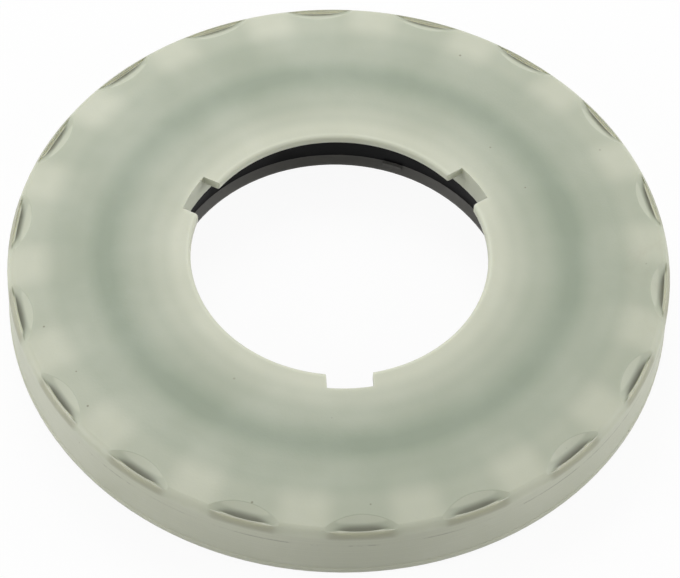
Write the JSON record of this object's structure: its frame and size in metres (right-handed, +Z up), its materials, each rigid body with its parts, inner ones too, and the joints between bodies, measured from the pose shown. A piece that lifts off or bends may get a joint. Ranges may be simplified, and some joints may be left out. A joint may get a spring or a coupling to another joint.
{
  "type": "strut mount bearing",
  "caption": "Flat ring thrust bearing for a suspension strut's top mount, with a translucent nylon cap with keyways in its bore that turns on balls over a black lower housing.",
  "frame": {"origin": "centre of the bearing's axis, on the spring-seat face that it rests on", "axes": "+Z up along the bearing's axis, from the spring seat to the top mount; -Y through the middle of one keyway"},
  "size_m": [0.0974, 0.0974, 0.0112],
  "materials": {
    "nylon_natural": "satin moulded, translucent",
    "nylon_black": "satin moulded",
    "nylon_cage": "satin moulded",
    "steel_race": "pressed and hardened",
    "steel_ball": "polished"
  },
  "bodies": {
    "base": {"lower_housing": "nylon_black", "lower_race": "steel_race"},
    "cap": {"upper_cap": "nylon_natural", "upper_race": "steel_race"},
    "cage": {"ball_cage": "nylon_cage", "ball_01": "steel_ball", "ball_02": "steel_ball", "ball_03": "steel_ball", "ball_04": "steel_ball", "ball_05": "steel_ball", "ball_06": "steel_ball", "ball_07": "steel_ball", "ball_08": "steel_ball", "ball_09": "steel_ball", "ball_10": "steel_ball", "ball_11": "steel_ball", "ball_12": "steel_ball", "ball_13": "steel_ball", "ball_14": "steel_ball", "ball_15": "steel_ball", "ball_16": "steel_ball", "ball_17": "steel_ball", "ball_18": "steel_ball", "ball_19": "steel_ball", "ball_20": "steel_ball", "ball_21": "steel_ball", "ball_22": "steel_ball", "ball_23": "steel_ball", "ball_24": "steel_ball", "ball_25": "steel_ball", "ball_26": "steel_ball", "ball_27": "steel_ball", "ball_28": "steel_ball", "ball_29": "steel_ball", "ball_30": "steel_ball"}
  },
  "joints": [
    {"name": "cap_turn", "type": "hinge", "parent": "base", "child": "cap", "pos_m": [0, 0, 0.0058], "axis": [0, 0, 1], "continuous": true},
    {"name": "cage_turn", "type": "hinge", "parent": "base", "child": "cage", "pos_m": [0, 0, 0.0058], "axis": [0, 0, 1], "continuous": true}
  ],
  "couplings": [
    {"joint": "cage_turn", "follows": "cap_turn", "ratio": 0.5}
  ]
}
